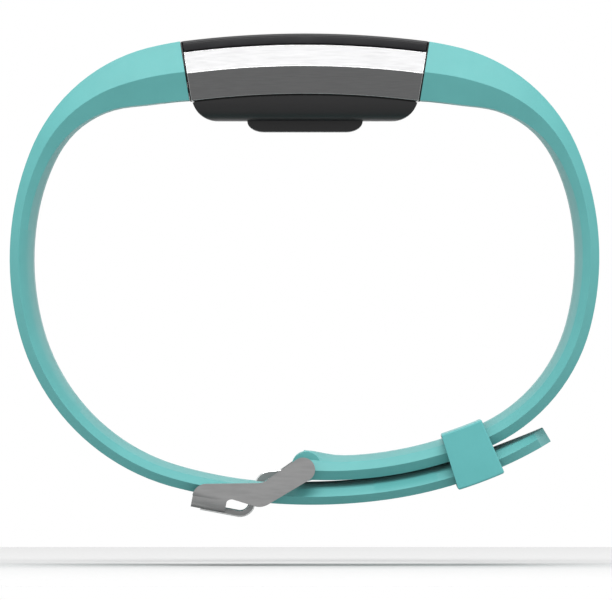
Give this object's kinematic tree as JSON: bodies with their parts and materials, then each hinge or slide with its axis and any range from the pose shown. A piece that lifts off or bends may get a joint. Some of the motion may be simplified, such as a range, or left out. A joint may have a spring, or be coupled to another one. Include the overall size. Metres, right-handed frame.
{
  "type": "fitness tracker band",
  "caption": "Wrist-worn activity tracker: slim curved module with a faceted steel case, soft strap, keeper loop and tang buckle.",
  "frame": {"origin": "centre of the wrist opening, midway across the band", "axes": "+Z out through the display, +Y along the forearm (the side with the button), +X towards the strap that carries the buckle"},
  "size_m": [0.0852, 0.0244, 0.07],
  "materials": {
    "display_glass": "polished black glass",
    "display": "dark display",
    "steel_case": "fine brushed",
    "black_base": "satin black moulding",
    "black_seal": "matt seal",
    "elastomer": "satin teal elastomer",
    "keeper_elastomer": "smooth teal elastomer",
    "buckle_steel": "brushed with polished edges",
    "pin_steel": "turned steel",
    "circuit_board": "solder mask",
    "battery_foil": "foil pouch",
    "internal_plastic": "moulded",
    "contact_gold": "plated",
    "sensor_window": "smoked clear moulding",
    "led": "green emitter"
  },
  "bodies": {
    "band": {"display_glass": "display_glass", "display_adhesive": "black_seal", "display_panel": "display", "case_frame": "steel_case", "case_seal": "black_seal", "base_cover": "black_base", "inner_chassis": "internal_plastic", "main_board": "circuit_board", "battery": "battery_foil", "vibration_motor": "pin_steel", "button_switch": "internal_plastic", "sensor_housing": "black_base", "sensor_window": "sensor_window", "sensor_leds": "led", "photodiode": "internal_plastic", "sensor_board": "circuit_board", "charging_contacts": "contact_gold", "connector_left": "internal_plastic", "connector_right": "internal_plastic", "latch_spring_left": "pin_steel", "latch_spring_right": "pin_steel", "hole_strap": "elastomer", "buckle_strap": "elastomer"},
    "side_button": {"side_button": "steel_case"},
    "latch_left": {"latch_left": "internal_plastic"},
    "latch_right": {"latch_right": "internal_plastic"},
    "keeper": {"keeper": "keeper_elastomer"},
    "buckle": {"buckle_frame": "buckle_steel", "buckle_pin": "pin_steel"},
    "tongue": {"buckle_tongue": "buckle_steel"}
  },
  "joints": [
    {"name": "side_button_press", "type": "slide", "parent": "band", "child": "side_button", "axis": [0, -1, 0], "range_m": [0, 0.00035], "stiffness_N_per_m": 1200, "springref_m": -0.0003},
    {"name": "latch_left_slide", "type": "slide", "parent": "band", "child": "latch_left", "axis": [-0.9871, 0, -0.1599], "range_m": [0, 0.0008], "stiffness_N_per_m": 400, "springref_m": -0.0005},
    {"name": "latch_right_slide", "type": "slide", "parent": "band", "child": "latch_right", "axis": [0.9871, 0, -0.1599], "range_m": [0, 0.0008], "stiffness_N_per_m": 400, "springref_m": -0.0005},
    {"name": "keeper_slide", "type": "hinge", "parent": "band", "child": "keeper", "pos_m": [0.0032, 0, 0.032], "axis": [0, 1, 0], "range_deg": [0, 9]},
    {"name": "buckle_pivot", "type": "hinge", "parent": "band", "child": "buckle", "pos_m": [-0.00029, 0, -0.02596], "axis": [0, -1, 0], "range_deg": [0, 1.4]},
    {"name": "tongue_pivot", "type": "hinge", "parent": "band", "child": "tongue", "pos_m": [-0.00029, 0, -0.02596], "axis": [0, -1, 0], "range_deg": [0, 1.4]}
  ],
  "couplings": [
    {"joint": "tongue_pivot", "follows": "buckle_pivot", "ratio": 1}
  ]
}
